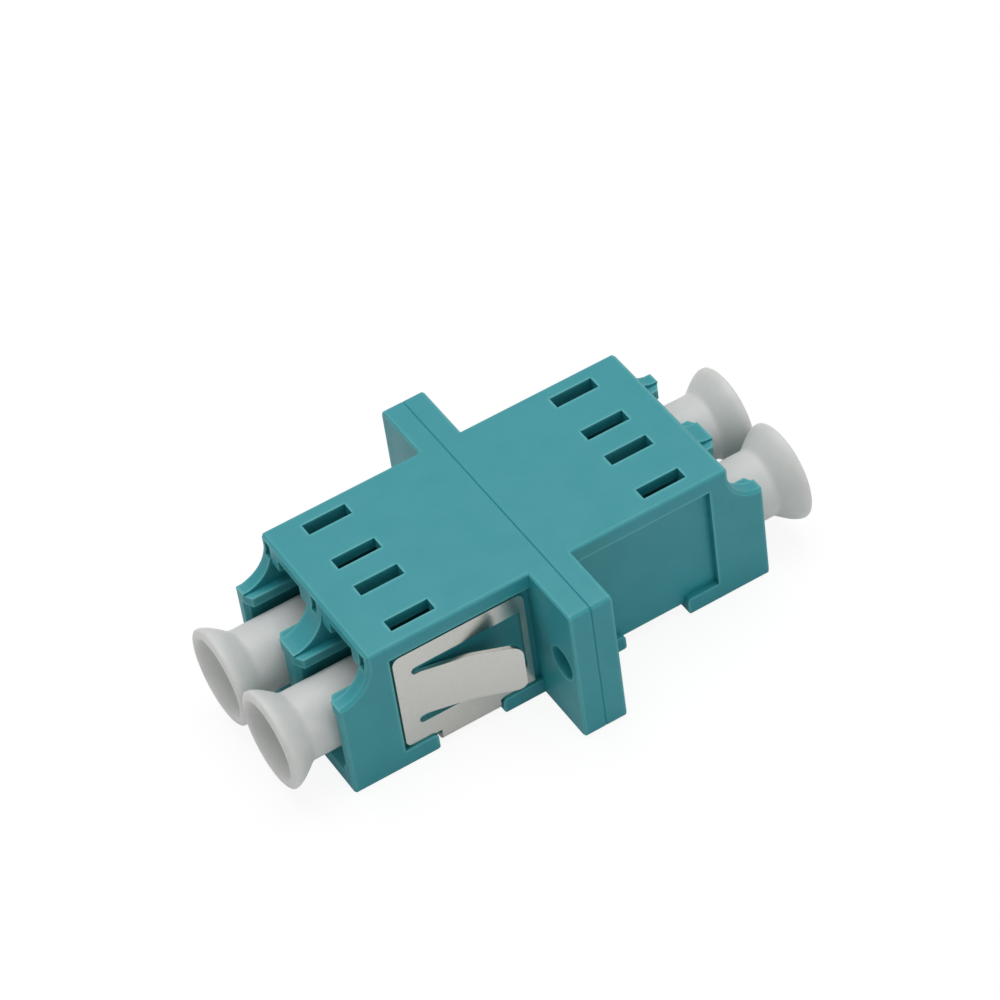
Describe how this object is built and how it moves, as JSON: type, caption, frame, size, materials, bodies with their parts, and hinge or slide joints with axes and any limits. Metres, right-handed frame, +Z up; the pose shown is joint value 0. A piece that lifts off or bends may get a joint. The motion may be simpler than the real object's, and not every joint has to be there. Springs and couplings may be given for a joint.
{
  "type": "duplex fibre adapter",
  "caption": "Flanged fibre adapter with side-by-side plug ports at both ends, a steel panel clip on one half and a trumpet-shaped dust cap in each port.",
  "frame": {"origin": "centre of the weld plane between the two halves, on the line between the screw holes", "axes": "X along the fibres, the clip is on the -X half; Y across the ports, towards the screw holes; Z up, out of the slotted plate"},
  "size_m": [0.0372, 0.022, 0.0106],
  "materials": {
    "housing": "satin moulded, aqua",
    "clip": "plain rolled stainless strip",
    "sleeve": "ground zirconia",
    "cap": "soft milky polyethylene"
  },
  "bodies": {
    "adapter": {"housing_front_half": "housing", "housing_rear_half": "housing", "panel_clip": "clip", "split_sleeve_near": "sleeve", "split_sleeve_far": "sleeve"},
    "dust_cap_front_near": {"dust_cap_front_near": "cap"},
    "dust_cap_front_far": {"dust_cap_front_far": "cap"},
    "dust_cap_rear_near": {"dust_cap_rear_near": "cap"},
    "dust_cap_rear_far": {"dust_cap_rear_far": "cap"}
  },
  "joints": [
    {"name": "dust_cap_front_near_pull", "type": "slide", "parent": "adapter", "child": "dust_cap_front_near", "axis": [-1, 0, 0], "range_m": [0, 0.0145]},
    {"name": "dust_cap_front_far_pull", "type": "slide", "parent": "adapter", "child": "dust_cap_front_far", "axis": [-1, 0, 0], "range_m": [0, 0.0145]},
    {"name": "dust_cap_rear_near_pull", "type": "slide", "parent": "adapter", "child": "dust_cap_rear_near", "axis": [1, 0, 0], "range_m": [0, 0.0145]},
    {"name": "dust_cap_rear_far_pull", "type": "slide", "parent": "adapter", "child": "dust_cap_rear_far", "axis": [1, 0, 0], "range_m": [0, 0.0145]}
  ]
}
